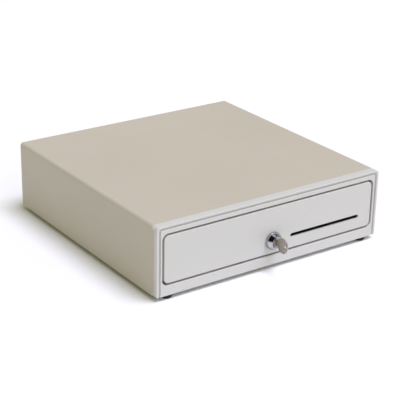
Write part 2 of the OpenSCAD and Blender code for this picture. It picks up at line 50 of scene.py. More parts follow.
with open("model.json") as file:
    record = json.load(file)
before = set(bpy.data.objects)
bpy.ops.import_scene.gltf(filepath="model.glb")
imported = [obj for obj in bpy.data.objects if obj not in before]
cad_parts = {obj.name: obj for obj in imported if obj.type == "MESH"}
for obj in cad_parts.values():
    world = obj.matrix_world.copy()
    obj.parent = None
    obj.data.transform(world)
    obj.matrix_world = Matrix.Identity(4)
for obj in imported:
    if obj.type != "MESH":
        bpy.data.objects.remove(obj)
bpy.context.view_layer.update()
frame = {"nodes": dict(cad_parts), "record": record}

MM = 0.001
BODY_OF = {n: b for b, members in frame["record"]["behaviour"]["bodies"].items() for n in members}
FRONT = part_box("front_bezel")[0].y
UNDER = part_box("front_bezel")[0].z


def at(x, y, z):
    """A point in metres from millimetres: right of the middle, behind the front, above the underside."""
    return Vector((x * MM, FRONT + y * MM, UNDER + z * MM))


# ---------- shader node groups ----------

def add(tree, kind, values=None, **settings):
    """Adds a node, sets its properties, then its inputs by name or number."""
    made = tree.nodes.new(kind)
    for key, value in settings.items():
        setattr(made, key, value)
    for key, value in (values or {}).items():
        if isinstance(value, bpy.types.NodeSocket):
            tree.links.new(value, made.inputs[key])
        else:
            made.inputs[key].default_value = value
    return made


def shader_group(name, inputs, outputs):
    """An empty shader group with float inputs and outputs."""
    tree = bpy.data.node_groups.new(name, "ShaderNodeTree")
    for label, value in inputs.items():
        socket = tree.interface.new_socket(label, in_out="INPUT", socket_type="NodeSocketFloat")
        socket.default_value = value
    for label in outputs:
        tree.interface.new_socket(label, in_out="OUTPUT", socket_type="NodeSocketFloat")
    return tree, tree.nodes.new("NodeGroupInput"), tree.nodes.new("NodeGroupOutput")


def object_noise(tree, scale, detail=2.0, roughness=0.5, stretch=None):
    """Noise on object coordinates, stretched by a factor along each axis where one is given."""
    coordinates = add(tree, "ShaderNodeTexCoord").outputs["Object"]
    if stretch:
        coordinates = add(tree, "ShaderNodeMapping", {"Vector": coordinates, "Scale": stretch}).outputs[0]
    noise = add(tree, "ShaderNodeTexNoise", {"Vector": coordinates, "Scale": scale, "Detail": detail,
                                             "Roughness": roughness})
    return noise.outputs["Fac"]


def spread(tree, value, low, high, to_low=0.0, to_high=1.0):
    """Maps a value's range low..high to another range, and clamps it."""
    return add(tree, "ShaderNodeMapRange", {"Value": value, "From Min": low, "From Max": high,
                                            "To Min": to_low, "To Max": to_high}).outputs["Result"]


def combine(tree, operation, a, b):
    return add(tree, "ShaderNodeMath", {0: a, 1: b}, operation=operation).outputs[0]


def build_grain_group():
    """Fine surface grain: a tight noise over a wider one, as a height."""
    tree, given, result = shader_group("Surface grain", {"Scale": 900.0, "Broad share": 0.35}, ["Height"])
    fine = object_noise(tree, given.outputs["Scale"], 3.0, 0.6)
    broad = object_noise(tree, combine(tree, "MULTIPLY", given.outputs["Scale"], 0.21), 2.0)
    part = combine(tree, "MULTIPLY", broad, given.outputs["Broad share"])
    tree.links.new(combine(tree, "ADD", fine, part), result.inputs["Height"])
    return tree


def build_handling_group():
    """Slow changes of gloss left by handling and cleaning, with finer streaks in them."""
    tree, given, result = shader_group("Handling marks", {"Scale": 9.0, "Low": 0.4, "High": 0.5},
                                       ["Roughness"])
    cloud = object_noise(tree, given.outputs["Scale"], 4.0, 0.62)
    fine = object_noise(tree, 140.0, 3.0, 0.7, stretch=(1.0, 0.25, 1.0))
    mixed = combine(tree, "ADD", combine(tree, "MULTIPLY", cloud, 0.75),
                    combine(tree, "MULTIPLY", fine, 0.25))
    amount = spread(tree, mixed, 0.34, 0.66)
    gap = combine(tree, "SUBTRACT", given.outputs["High"], given.outputs["Low"])
    scaled = combine(tree, "MULTIPLY", amount, gap)
    tree.links.new(combine(tree, "ADD", scaled, given.outputs["Low"]), result.inputs["Roughness"])
    return tree


def build_wear_group():
    """Worn outer edges, broken up by noise, as a mask."""
    tree, given, result = shader_group("Edge wear", {"Amount": 0.5, "Scale": 220.0}, ["Mask"])
    edge = spread(tree, add(tree, "ShaderNodeNewGeometry").outputs["Pointiness"], 0.53, 0.62)
    broken = spread(tree, object_noise(tree, given.outputs["Scale"], 4.0, 0.65), 0.42, 0.62)
    worn = combine(tree, "MULTIPLY", edge, broken)
    tree.links.new(combine(tree, "MULTIPLY", worn, given.outputs["Amount"]), result.inputs["Mask"])
    return tree


def build_brush_group():
    """Long fine scratches along the front-to-back direction of rolled or drawn metal."""
    tree, given, result = shader_group("Drawn lines", {"Scale": 700.0}, ["Height"])
    lines = object_noise(tree, given.outputs["Scale"], 2.0, 0.6, stretch=(1.0, 0.02, 1.0))
    tree.links.new(lines, result.inputs["Height"])
    return tree


GROUPS = {}


def shared(tree, name, values):
    """Places a shared group in a material's tree with its own values."""
    makers = {"grain": build_grain_group, "handling": build_handling_group,
              "wear": build_wear_group, "brush": build_brush_group}
    if name not in GROUPS:
        GROUPS[name] = makers[name]()
    placed = tree.nodes.new("ShaderNodeGroup")
    placed.node_tree = GROUPS[name]
    for key, value in values.items():
        placed.inputs[key].default_value = value
    return placed.outputs[0]


# ---------- materials ----------

def shade(colour, factor):
    return [min(1.0, c * factor) for c in colour[:3]] + [1.0]


def finish(name, colour, rough=(0.4, 0.5), metallic=0.0, grain=(900.0, 0.02), mottle=(14.0, 0.04),
           wear=None, brush=None, spangle=None, coat=0.0, specular=0.5):
    """A material from shared effects.

    rough is the range of roughness; grain is a scale and a height in mm; mottle is a scale and how
    much the colour changes; wear is a colour and an amount; brush is a height in mm; spangle is the
    share by which the grains of a zinc coating differ."""
    if name in bpy.data.materials:
        return bpy.data.materials[name]
    made = bpy.data.materials.new(name)
    made.use_nodes = True
    tree = made.node_tree
    surface = tree.nodes["Principled BSDF"]
    surface.inputs["Metallic"].default_value = metallic
    surface.inputs["Specular IOR Level"].default_value = specular
    surface.inputs["Coat Weight"].default_value = coat
    surface.inputs["Coat Roughness"].default_value = 0.2

    tone = spread(tree, object_noise(tree, mottle[0], 3.0, 0.55), 0.3, 0.7)
    base = add(tree, "ShaderNodeMix", {"Factor": tone, "A": shade(colour, 1 - mottle[1]),
                                       "B": shade(colour, 1 + mottle[1])}, data_type="RGBA")
    paint = base.outputs["Result"]
    if spangle:
        cells = add(tree, "ShaderNodeTexVoronoi",
                    {"Vector": add(tree, "ShaderNodeTexCoord").outputs["Object"], "Scale": 130.0})
        light = add(tree, "ShaderNodeSeparateColor", {"Color": cells.outputs["Color"]}).outputs[0]
        level = spread(tree, light, 0.0, 1.0, 1 - spangle, 1 + spangle)
        paint = add(tree, "ShaderNodeVectorMath", {0: paint, "Scale": level},
                    operation="SCALE").outputs["Vector"]
    gloss = shared(tree, "handling", {"Low": rough[0], "High": rough[1]})
    if wear:
        mask = shared(tree, "wear", {"Amount": wear[1]})
        paint = add(tree, "ShaderNodeMix", {"Factor": mask, "A": paint, "B": list(wear[0]) + [1.0]},
                    data_type="RGBA").outputs["Result"]
    tree.links.new(paint, surface.inputs["Base Color"])
    tree.links.new(gloss, surface.inputs["Roughness"])

    height = shared(tree, "grain", {"Scale": grain[0]})
    bump = add(tree, "ShaderNodeBump", {"Height": height, "Distance": grain[1] * MM, "Strength": 1.0})
    if brush:
        lines = shared(tree, "brush", {})
        bump = add(tree, "ShaderNodeBump", {"Height": lines, "Distance": brush * MM, "Strength": 1.0,
                                            "Normal": bump.outputs["Normal"]})
    tree.links.new(bump.outputs["Normal"], surface.inputs["Normal"])
    return made


def steel_paint():
    look = bpy.context.scene.cash_drawer
    return finish("beige powder coat", look.steel_colour, rough=(0.42, 0.52), grain=(1100.0, 0.035),
                  mottle=(7.0, 0.018), specular=0.45)


def front_plastic():
    look = bpy.context.scene.cash_drawer
    return finish("cream moulded plastic", look.front_colour, rough=(0.36, 0.46), grain=(1500.0, 0.018),
                  mottle=(8.0, 0.012), specular=0.5)


def panel_plastic():
    look = bpy.context.scene.cash_drawer
    return finish("cream drawer front", look.panel_colour, rough=(0.38, 0.47), grain=(1500.0, 0.018),
                  mottle=(6.0, 0.012), specular=0.5)


def tray_plastic():
    return finish("black tray plastic", bpy.context.scene.cash_drawer.tray_colour, rough=(0.36, 0.55),
                  grain=(1300.0, 0.03), mottle=(20.0, 0.12), wear=((0.10, 0.10, 0.105), 0.5))


def black_plastic():
    return finish("black moulded plastic", (0.018, 0.018, 0.02), rough=(0.34, 0.48), grain=(1700.0, 0.015),
                  mottle=(30.0, 0.1))


def rubber():
    return finish("black rubber", (0.02, 0.02, 0.021), rough=(0.62, 0.8), grain=(900.0, 0.05),
                  mottle=(60.0, 0.2), specular=0.3)


def zinc_sheet():
    return finish("galvanised sheet", (0.60, 0.61, 0.61), rough=(0.34, 0.5), metallic=0.92,
                  grain=(500.0, 0.012), mottle=(25.0, 0.05), brush=0.006, spangle=0.10)


def slide_steel():
    return finish("bright slide steel", (0.66, 0.67, 0.69), rough=(0.22, 0.36), metallic=1.0,
                  grain=(700.0, 0.004), mottle=(30.0, 0.04), brush=0.008)


def screw_steel():
    return finish("plated steel", (0.56, 0.57, 0.58), rough=(0.26, 0.4), metallic=1.0,
                  grain=(900.0, 0.006), mottle=(80.0, 0.06), wear=((0.75, 0.75, 0.76), 0.4))


def spring_wire():
    return finish("spring wire", (0.36, 0.37, 0.39), rough=(0.22, 0.34), metallic=1.0,
                  grain=(1500.0, 0.004), mottle=(120.0, 0.08))


def ball_steel():
    return finish("ball steel", (0.72, 0.73, 0.75), rough=(0.06, 0.12), metallic=1.0,
                  grain=(1500.0, 0.0008), mottle=(200.0, 0.03))


def lock_chrome():
    return finish("lock chrome", (0.46, 0.465, 0.48), rough=(0.05, 0.13), metallic=1.0,
                  grain=(600.0, 0.002), mottle=(150.0, 0.03))


def key_nickel():
    return finish("worn nickel silver", (0.50, 0.455, 0.41), rough=(0.26, 0.42), metallic=0.9,
                  grain=(1200.0, 0.012), mottle=(160.0, 0.12), wear=((0.72, 0.68, 0.62), 0.6))


def plug_nickel():
    return finish("lock plug nickel", (0.42, 0.39, 0.35), rough=(0.22, 0.36), metallic=1.0,
                  grain=(1400.0, 0.006), mottle=(200.0, 0.1))


def copper_wire():
    return finish("enamelled copper", (0.46, 0.15, 0.055), rough=(0.2, 0.32), metallic=0.75,
                  grain=(1200.0, 0.004), mottle=(90.0, 0.12), coat=0.5)


def nylon():
    return finish("white nylon", (0.72, 0.71, 0.67), rough=(0.3, 0.42), grain=(1400.0, 0.01),
                  mottle=(60.0, 0.03))


# ---------- meshes ----------

def link_mesh(name, mesh):
    made = bpy.data.objects.new(name, mesh)
    bpy.context.scene.collection.objects.link(made)
    return made


def bake_modifiers(made):
    """Turns an object's modifiers into a plain mesh and removes them."""
    bpy.context.view_layer.update()
    graph = bpy.context.evaluated_depsgraph_get()
    flat = bpy.data.meshes.new_from_object(made.evaluated_get(graph))
    flat.name = made.name
    made.modifiers.clear()
    made.data = flat
    return made


def join_body(made, node, material, stretch=None):
    """Gives a finished piece its material and, unless stretch is given, its body, and hides the CAD node
    that it stands for.

    stretch only tells whether to bake the piece's place into its mesh instead of joining a body; the body
    and the points in it are not used."""
    made.data.materials.clear()
    made.data.materials.append(material)
    if stretch:
        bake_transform(made)
    else:
        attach(made, BODY_OF[node])
    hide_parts(node)
    return made


def welded(node, whole=True):
    """A merged copy of a CAD node's mesh. Its flat faces are made whole, unless they have many holes."""
    mesh = frame["nodes"][node].data.copy()
    work = bmesh.new()
    work.from_mesh(mesh)
    bmesh.ops.remove_doubles(work, verts=work.verts, dist=2e-6)
    if whole:
        bmesh.ops.dissolve_limit(work, angle_limit=math.radians(0.4), verts=work.verts, edges=work.edges)
    work.to_mesh(mesh)
    work.free()
    return mesh


def soften(made, radius, segments=2, angle=30.0):
    """Rounds an object's sharp edges and keeps its flat faces flat."""
    for polygon in made.data.polygons:
        polygon.use_smooth = True
    made.data.set_sharp_from_angle(angle=math.radians(angle))
    if radius > 0:
        bevel = made.modifiers.new("Rounded edges", "BEVEL")
        bevel.width = radius * MM
        bevel.segments = segments
        bevel.limit_method = "ANGLE"
        bevel.angle_limit = math.radians(angle)
        bevel.miter_outer = "MITER_ARC"
        bevel.use_clamp_overlap = True
    normals = made.modifiers.new("Flat faces", "WEIGHTED_NORMAL")
    normals.keep_sharp = radius <= 0
    return bake_modifiers(made)


def dressed(node, material, radius=0.3, segments=2, whole=True):
    """The CAD node's own shape with rounded edges and a finish, as a piece that stands for it."""
    made = link_mesh("finished_" + node, welded(node, whole))
    soften(made, radius, segments)
    return join_body(made, node, material)


def moulded(node, material, radius, reach=None, groove=None):
    """A moulding whose edges in its front face are rounded more than the rest, which stay crisp.

    Where reach is given, only the edges within it of the outline count, in mm. groove holds the
    depth of a groove cut in the front face and the depth of its moulded floor, in mm."""
    mesh = welded(node)
    low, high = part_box(node)
    work = bmesh.new()
    work.from_mesh(mesh)
    for corner in work.verts:
        if groove and abs(corner.co.y - low.y - groove[0] * MM) < 1e-5:
            corner.co.y = low.y + groove[1] * MM

    def chosen(corner):
        near = min(corner.x - low.x, high.x - corner.x, corner.z - low.z, high.z - corner.z)
        return abs(corner.y - low.y) < 1e-5 and (reach is None or near < reach * MM)

    edges = [e for e in work.edges if all(chosen(v.co) for v in e.verts)
             and len(e.link_faces) == 2 and e.calc_face_angle(0) > 0.5]
    bmesh.ops.bevel(work, geom=edges, offset=radius * MM, segments=4, profile=0.5, affect="EDGES")
    work.to_mesh(mesh)
    work.free()
    made = link_mesh("finished_" + node, mesh)
    soften(made, 0.25, 2, 35.0)
    return join_body(made, node, material)


def face_outwards(mesh):
    work = bmesh.new()
    work.from_mesh(mesh)
    bmesh.ops.recalc_face_normals(work, faces=work.faces)
    work.to_mesh(mesh)
    work.free()


def smooth(mesh, angle=32.0):
    for polygon in mesh.polygons:
        polygon.use_smooth = True
    mesh.set_sharp_from_angle(angle=math.radians(angle))
    return mesh


def turned(name, profile, middle=(0, 0, 0), axis=(0, 0, 1), segments=64, angle=32.0):
    """A solid turned from an outline of radius and place along the axis, in mm. A radius of nought
    closes an end; without one, the outline closes on itself."""
    along = Vector(axis)
    first = along.orthogonal().normalized()
    second = along.cross(first)
    work = bmesh.new()
    rings = []
    for radius, place in profile:
        spot = Vector(middle) + along * place * MM
        if radius < 1e-6:
            rings.append([work.verts.new(spot)])
            continue
        rings.append([work.verts.new(spot + (first * math.cos(t) + second * math.sin(t)) * radius * MM)
                      for t in (2 * math.pi * k / segments for k in range(segments))])
    pairs = list(zip(rings, rings[1:]))
    if len(rings[0]) > 1:
        pairs.append((rings[-1], rings[0]))
    for low, high in pairs:
        for k in range(segments):
            corners = [low[k % len(low)], low[(k + 1) % len(low)],
                       high[(k + 1) % len(high)], high[k % len(high)]]
            work.faces.new(list(dict.fromkeys(corners)))
    bmesh.ops.recalc_face_normals(work, faces=work.faces)
    mesh = bpy.data.meshes.new(name)
    work.to_mesh(mesh)
    work.free()
    return smooth(mesh, angle)


def arc(middle, radius, start, end, steps):
    """Points on an arc, in the outline's own two directions, with angles in degrees."""
    return [(middle[0] + radius * math.cos(math.radians(start + (end - start) * i / steps)),
             middle[1] + radius * math.sin(math.radians(start + (end - start) * i / steps)))
            for i in range(steps + 1)]


def cut_plate(name, outlines, half, bevel, x):
    """A plate cut to outlines in y and z, in mm, with its middle at x; inner outlines are holes."""
    curve = bpy.data.curves.new(name, "CURVE")
    curve.dimensions = "2D"
    curve.fill_mode = "BOTH"
    curve.extrude = (half - bevel) * MM
    curve.bevel_depth = bevel * MM
    curve.bevel_resolution = 2
    curve.offset = -bevel * MM
    for outline in outlines:
        spline = curve.splines.new("POLY")
        spline.points.add(len(outline) - 1)
        for point, (y, z) in zip(spline.points, outline):
            point.co = (y * MM, z * MM, 0, 1)
        spline.use_cyclic_u = True
    flat = bpy.data.objects.new(name, curve)
    bpy.context.scene.collection.objects.link(flat)
    bpy.context.view_layer.update()
    mesh = bpy.data.meshes.new_from_object(flat.evaluated_get(bpy.context.evaluated_depsgraph_get()))
    bpy.data.objects.remove(flat)
    # the curve's own x, y and z become the part's y, z and x
    mesh.transform(Matrix.Translation(at(x, 0, 0)) @ Matrix(((0, 0, 1, 0), (1, 0, 0, 0), (0, 1, 0, 0),
                                                            (0, 0, 0, 1))))
    work = bmesh.new()
    work.from_mesh(mesh)
    bmesh.ops.remove_doubles(work, verts=work.verts, dist=1e-6)
    bmesh.ops.recalc_face_normals(work, faces=work.faces)
    work.to_mesh(mesh)
    work.free()
    return smooth(mesh)


def merged(name, meshes):
    """One mesh from several."""
    work = bmesh.new()
    for mesh in meshes:
        work.from_mesh(mesh)
    mesh = bpy.data.meshes.new(name)
    work.to_mesh(mesh)
    work.free()
    return mesh


# ---------- geometry nodes ----------

def geometry_tree(name, sizes):
    """A tree with a named input for each size, given as its kind and its default."""
    tree = bpy.data.node_groups.new(name, "GeometryNodeTree")
    tree.interface.new_socket("Geometry", in_out="INPUT", socket_type="NodeSocketGeometry")
    for label, (kind, value) in sizes.items():
        socket = tree.interface.new_socket(label, in_out="INPUT", socket_type="NodeSocket" + kind)
        if value is not None:
            socket.default_value = value
    tree.interface.new_socket("Geometry", in_out="OUTPUT", socket_type="NodeSocketGeometry")
    return tree, tree.nodes.new("NodeGroupInput"), tree.nodes.new("NodeGroupOutput")


def end_tree(tree, given, result, geometry):
    real = add(tree, "GeometryNodeRealizeInstances", {"Geometry": geometry}).outputs["Geometry"]
    coated = add(tree, "GeometryNodeSetMaterial", {"Geometry": real, "Material": given.outputs["Material"]})
    tree.links.new(coated.outputs["Geometry"], result.inputs["Geometry"])


def copies_tree():
    """Copies of one object at the points of a mesh."""
    tree, given, result = geometry_tree("Copies at points", {
        "Copy": ("Object", None), "Turn": ("Rotation", (0, 0, 0)), "Material": ("Material", None)})
    original = add(tree, "GeometryNodeObjectInfo", {"Object": given.outputs["Copy"]},
                   transform_space="ORIGINAL")
    copies = add(tree, "GeometryNodeInstanceOnPoints", {
        "Points": given.outputs["Geometry"], "Instance": original.outputs["Geometry"],
        "Rotation": given.outputs["Turn"]})
    end_tree(tree, given, result, copies.outputs["Instances"])
    return tree


def coil_tree():
    """A coil of round wire about an axis."""
    tree, given, result = geometry_tree("Coil of wire", {
        "Radius": ("Float", 0.003), "Wire": ("Float", 0.0005), "Length": ("Float", 0.01),
        "Turns": ("Float", 5.0), "Steps": ("Int", 24), "Sides": ("Int", 8),
        "Place": ("Vector", (0, 0, 0)), "Turn": ("Rotation", (0, 0, 0)), "Material": ("Material", None)})
    middle = add(tree, "GeometryNodeCurveSpiral", {
        "Resolution": given.outputs["Steps"], "Rotations": given.outputs["Turns"],
        "Start Radius": given.outputs["Radius"], "End Radius": given.outputs["Radius"],
        "Height": given.outputs["Length"]})
    around = add(tree, "GeometryNodeCurvePrimitiveCircle", {
        "Resolution": given.outputs["Sides"], "Radius": given.outputs["Wire"]})
    wire = add(tree, "GeometryNodeCurveToMesh", {
        "Curve": middle.outputs["Curve"], "Profile Curve": around.outputs["Curve"], "Fill Caps": True})
    moved = add(tree, "GeometryNodeTransform", {
        "Geometry": wire.outputs["Mesh"], "Translation": given.outputs["Place"],
        "Rotation": given.outputs["Turn"]})
    end_tree(tree, given, result, moved.outputs["Geometry"])
    return tree


def strand_tree():
    """Round wire along smooth lines through the points of a mesh's edges."""
    tree, given, result = geometry_tree("Wire along a line", {
        "Wire": ("Float", 0.002), "Sides": ("Int", 12), "Material": ("Material", None)})
    line = add(tree, "GeometryNodeMeshToCurve", {"Mesh": given.outputs["Geometry"]})
    curved = add(tree, "GeometryNodeCurveSplineType", {"Curve": line.outputs["Curve"]},
                 spline_type="CATMULL_ROM")
    around = add(tree, "GeometryNodeCurvePrimitiveCircle", {
        "Resolution": given.outputs["Sides"], "Radius": given.outputs["Wire"]})
    wire = add(tree, "GeometryNodeCurveToMesh", {
        "Curve": curved.outputs["Curve"], "Profile Curve": around.outputs["Curve"], "Fill Caps": True})
    end_tree(tree, given, result, wire.outputs["Mesh"])
    return tree


TREES = {}


def grow(name, maker, values, points=((0, 0, 0),), edges=()):
    """Runs a tree on a mesh of points and edges, and keeps the result as a plain mesh."""
    if maker not in TREES:
        TREES[maker] = maker()
    mesh = bpy.data.meshes.new(name)
    mesh.from_pydata(list(points), list(edges), [])
    made = link_mesh(name, mesh)
    nodes = made.modifiers.new("Nodes", "NODES")
    nodes.node_group = TREES[maker]
    for socket in TREES[maker].interface.items_tree:
        if socket.in_out == "INPUT" and socket.name in values:
            nodes[socket.identifier] = values[socket.name]
    bake_modifiers(made)
    if not made.data.polygons:
        raise RuntimeError(name + " came out empty")
    face_outwards(made.data)
    smooth(made.data)
    return made


def copies(node, template, points, material, turn=(0.0, 0.0, 0.0)):
    """Copies of a template mesh at points, as the piece for a CAD node."""
    original = link_mesh("template", template)
    made = grow("finished_" + node, copies_tree, {"Copy": original, "Turn": turn, "Material": material},
                points)
    bpy.data.objects.remove(original)
    return join_body(made, node, material)


def coil(node, radius, wire, length, turns, place, turn, material, stretch=None, steps=24, sides=10):
    """A coil of wire as the piece for a CAD node; sizes in mm, place in metres."""
    made = grow("finished_" + node, coil_tree, {
        "Radius": radius * MM, "Wire": wire * MM, "Length": length * MM, "Turns": float(turns),
        "Steps": steps, "Sides": sides, "Place": tuple(place), "Turn": turn, "Material": material})
    return join_body(made, node, material, stretch)


# ---------- properties ----------

class CashDrawerLook(bpy.types.PropertyGroup):
    """Colours and sizes that a user would change."""
    steel_colour: FloatVectorProperty(
        name="Steel colour", description="Colour of the powder-coated steel", subtype="COLOR",
        size=3, min=0, max=1, default=(0.550, 0.500, 0.410))
    front_colour: FloatVectorProperty(
        name="Frame colour", description="Colour of the moulded front frame", subtype="COLOR",
        size=3, min=0, max=1, default=(0.635, 0.628, 0.605))
    panel_colour: FloatVectorProperty(
        name="Drawer front colour", description="Colour of the moulded drawer front", subtype="COLOR",
        size=3, min=0, max=1, default=(0.630, 0.622, 0.595))
    tray_colour: FloatVectorProperty(
        name="Tray colour", description="Colour of the till tray and the coin tray", subtype="COLOR",
        size=3, min=0, max=1, default=(0.030, 0.030, 0.032))
    edge_round: FloatProperty(
        name="Sheet edge", description="Radius on the edges of the sheet steel", unit="LENGTH",
        default=0.00035, min=0, max=0.0005)
    frame_round: FloatProperty(
        name="Frame edge", description="Radius on the edges of the front frame", unit="LENGTH",
        default=0.0009, min=0.0002, max=0.0012)
    panel_round: FloatProperty(
        name="Drawer front edge", description="Radius on the front edge of the drawer front", unit="LENGTH",
        default=0.0013, min=0.0002, max=0.002)
    lens: FloatProperty(
        name="Lens", description="Focal length of the camera in millimetres", unit="CAMERA",
        default=113.24, min=35, max=200)
    floor_size: FloatProperty(
        name="Floor", description="Width of the floor", unit="LENGTH", default=24.0, min=2, max=60)
    key_light: FloatProperty(
        name="Key light", description="Strength of the light from the front right",
        default=2.15, min=0, max=10)
    front_light: FloatProperty(
        name="Front light", description="Strength of the low light from the front",
        default=0.6, min=0, max=10)


def ball_mesh(radius):
    work = bmesh.new()
    bmesh.ops.create_icosphere(work, subdivisions=3, radius=radius * MM)
    mesh = bpy.data.meshes.new("ball")
    work.to_mesh(mesh)
    work.free()
    return smooth(mesh, 60)


def screw(radius, height, length, slotted=False):
    """A pan-head screw along z, head downwards, with its seat at z = 0; sizes in mm."""
    crest, root, pitch = 1.6, 1.3, 0.8
    head = [(0, -height), (radius * 0.55, -height), (radius * 0.8, -height * 0.88),
            (radius * 0.95, -height * 0.6), (radius, -height * 0.25), (radius, 0), (crest, 0)]
    steps = max(1, int(length / pitch))
    thread = [q for i in range(steps) for q in ((crest, i * pitch + 0.2), (root, i * pitch + 0.6))]
    body = link_mesh("screw", turned("screw", head + thread + [(root, length), (0, length)], segments=28))
    bars = bmesh.new()
    for turn in ((0,) if slotted else (0, 90)):
        made = bmesh.ops.create_cube(bars, size=1.0)["verts"]
        size = (radius * (2.4 if slotted else 1.25) * MM, 0.75 * MM, height * 1.1 * MM)
        bmesh.ops.scale(bars, vec=size, verts=made)
        bmesh.ops.translate(bars, vec=(0, 0, -height * MM), verts=made)
        bmesh.ops.rotate(bars, matrix=Matrix.Rotation(math.radians(turn), 3, "Z"), verts=made)
    cutter = link_mesh("cutter", bpy.data.meshes.new("cutter"))
    bars.to_mesh(cutter.data)
    bars.free()
    recess = body.modifiers.new("Recess", "BOOLEAN")
    recess.object = cutter
    recess.operation = "DIFFERENCE"
    recess.solver = "EXACT"
    recess.use_self = True
    bake_modifiers(body)
    mesh = body.data
    bpy.data.objects.remove(cutter)
    bpy.data.objects.remove(body)
    return smooth(mesh)


# ---------- operators ----------

class CASHDRAWER_OT_stage(bpy.types.Operator):
    """Make the floor, the lights and the camera"""
    bl_idname = "cash_drawer.stage"
    bl_label = "Stage"

    def execute(self, context):
        look = context.scene.cash_drawer
        half = look.floor_size / 2
        mesh = bpy.data.meshes.new("floor")
        mesh.from_pydata([(-half, -half, 0), (half, -half, 0), (half, half, 0), (-half, half, 0)], [],
                         [(0, 1, 2, 3)])
        floor = link_mesh("floor", mesh)
        mesh.materials.append(finish("pale floor", (0.95, 0.95, 0.95), rough=(0.6, 0.7),
                                     grain=(60.0, 0.002), mottle=(1.0, 0.004), specular=0.1))
        self.hang_card()
        self.light_room(context, look)
        self.place_camera(context, look)
        return {"FINISHED"}

    def hang_card(self):
        """A curved black screen overhead and at the left, which only the polished metal sees."""
        reach, side_from, side_to, overhead = 4.0, 150, 290, 48
        turns, rises = range(0, 360, 6), range(6, 85, 6)
        rows = len(rises)
        points = [Matrix.Rotation(math.radians(turn), 3, "Z")
                  @ Vector((math.cos(math.radians(rise)), 0, math.sin(math.radians(rise)))) * reach
                  for turn in turns for rise in rises]
        faces = []
        for i, turn in enumerate(turns):
            near, far = i * rows, (i + 1) % len(turns) * rows
            for j, rise in enumerate(rises[:-1]):
                if rise >= overhead or side_from <= turn < side_to:
                    faces.append((near + j, near + j + 1, far + j + 1, far + j))
        mesh = bpy.data.meshes.new("card")
        mesh.from_pydata(points, [], faces)
        card = link_mesh("card", mesh)
        mesh.materials.append(finish("black card", (0.012, 0.012, 0.012), rough=(0.8, 0.9),
                                     specular=0.0))
        card.visible_camera = card.visible_diffuse = card.visible_shadow = False

    def light_room(self, context, look):
        world = bpy.data.worlds.new("studio")
        world.use_nodes = True
        background = world.node_tree.nodes["Background"]
        background.inputs["Color"].default_value = (1.0, 1.0, 0.60, 1.0)
        background.inputs["Strength"].default_value = 0.34
        context.scene.world = world
        context.scene.view_settings.view_transform = "Standard"
        for name, place, angle, power, colour in (
                ("key light", (0.7, -1.0, 3.9), 30, look.key_light, (0.99, 0.985, 1.27)),
                ("front light", (0.9, -3.4, 2.6), 60, look.front_light, (0.985, 0.98, 1.12))):
            data = bpy.data.lights.new(name, "SUN")
            data.energy = power
            data.angle = math.radians(angle)
            data.color = colour
            lamp = bpy.data.objects.new(name, data)
            lamp.location = place
            lamp.rotation_euler = (-Vector(place)).to_track_quat("-Z", "Y").to_euler()
            context.scene.collection.objects.link(lamp)

    def place_camera(self, context, look):
        azimuth, elevation, roll = (math.radians(a) for a in (-35.295, 22.806, 1.078))
        back = Vector((math.sin(azimuth) * math.cos(elevation), -math.cos(azimuth) * math.cos(elevation),
                       math.sin(elevation)))
        right = Vector((math.cos(azimuth), math.sin(azimuth), 0))
        up = back.cross(right)
        rolled_right = right * math.cos(roll) + up * math.sin(roll)
        rolled_up = up * math.cos(roll) - right * math.sin(roll)
        data = bpy.data.cameras.new("camera")
        data.lens = look.lens
        data.sensor_width = 36.0
        camera = bpy.data.objects.new("camera", data)
        distance = 2.0205
        place = at(8.4, 200.0, 31.9) + back * distance
        turn = Matrix((rolled_right, rolled_up, back)).transposed().to_4x4()
        camera.matrix_world = Matrix.Translation(place) @ turn
        context.scene.collection.objects.link(camera)
        context.scene.camera = camera


class CASHDRAWER_OT_case(bpy.types.Operator):
    """Make the steel cover, the rear panel and the base plate"""
    bl_idname = "cash_drawer.case"
    bl_label = "Steel case"

    def execute(self, context):
        edge = context.scene.cash_drawer.edge_round / MM
        dressed("case_cover", steel_paint(), edge, 3)
        dressed("rear_panel", steel_paint(), edge, 2)
        dressed("base_plate", zinc_sheet(), edge, 1)
        dressed("lock_keeper", zinc_sheet(), edge, 2)
        return {"FINISHED"}


class CASHDRAWER_OT_front_frame(bpy.types.Operator):
    """Make the moulded front frame"""
    bl_idname = "cash_drawer.front_frame"
    bl_label = "Front frame"

    def execute(self, context):
        radius = context.scene.cash_drawer.frame_round / MM
        moulded("front_bezel", front_plastic(), radius, groove=(4.4, 2.2))
        return {"FINISHED"}


class CASHDRAWER_OT_drawer_front(bpy.types.Operator):
    """Make the drawer front with its cheque slot"""
    bl_idname = "cash_drawer.drawer_front"
    bl_label = "Drawer front"

    def execute(self, context):
        radius = context.scene.cash_drawer.panel_round / MM
        moulded("drawer_front", panel_plastic(), radius, reach=8.2)
        dressed("cheque_chute", black_plastic(), 0.2, 2)
        return {"FINISHED"}


